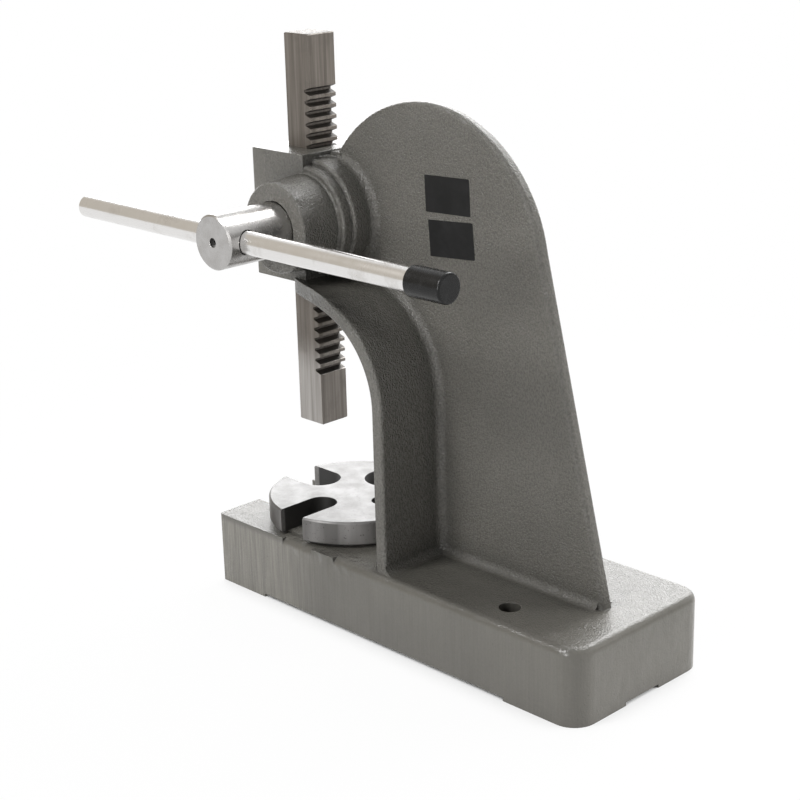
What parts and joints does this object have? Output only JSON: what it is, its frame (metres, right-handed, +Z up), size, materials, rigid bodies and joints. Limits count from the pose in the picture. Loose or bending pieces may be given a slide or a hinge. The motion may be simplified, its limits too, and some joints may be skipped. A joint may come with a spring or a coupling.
{
  "type": "arbor press",
  "caption": "Bench arbor press: a slotted table plate on a forked iron base, and a toothed square ram driven by a pinion with a sliding lever bar.",
  "frame": {"origin": "on the bench plane, midway between the two bench bolt holes in the back of the base", "axes": "+X towards the back of the base, -Y towards the lever side, +Z up along the ram"},
  "size_m": [0.4443, 0.1831, 0.4101],
  "materials": {
    "grey_enamel": "glossy grey enamel over rough cast iron",
    "dark_screws": "black oxide",
    "ground_steel": "ground",
    "ram_steel": "ground, oiled and stained",
    "turned_steel": "bright turned",
    "bright_bar": "bright drawn bar",
    "black_cap": "semi-gloss black",
    "plate_iron": "machined face, dark slot walls"
  },
  "bodies": {
    "frame": {"frame_casting": "grey_enamel", "front_cover": "grey_enamel", "cover_screws": "dark_screws", "gib_strip": "ground_steel", "gib_set_screws": "dark_screws", "gib_lock_nuts": "dark_screws", "table_pin": "ground_steel"},
    "pinion": {"pinion_shaft": "turned_steel", "thrust_washer": "ground_steel", "retaining_collar": "turned_steel", "collar_set_screw": "dark_screws", "lever_grub_screw": "dark_screws"},
    "lever": {"lever_bar": "bright_bar", "lever_cap": "black_cap"},
    "ram": {"ram": "ram_steel"},
    "table": {"table_plate": "plate_iron"}
  },
  "joints": [
    {"name": "pinion_turn", "type": "hinge", "parent": "frame", "child": "pinion", "pos_m": [-0.19812, 0, 0.284], "axis": [0, 1, 0], "range_deg": [-176, 352]},
    {"name": "ram_slide", "type": "slide", "parent": "frame", "child": "ram", "axis": [0, 0, 1], "range_m": [-0.05, 0.1]},
    {"name": "lever_slide", "type": "slide", "parent": "pinion", "child": "lever", "axis": [1, 0, 0], "range_m": [-0.15, 0.14]},
    {"name": "table_turn", "type": "hinge", "parent": "frame", "child": "table", "pos_m": [-0.194, 0, 0.065], "axis": [0, 0, 1], "continuous": true}
  ],
  "couplings": [
    {"joint": "ram_slide", "follows": "pinion_turn", "m_per_rad": 0.01625}
  ]
}
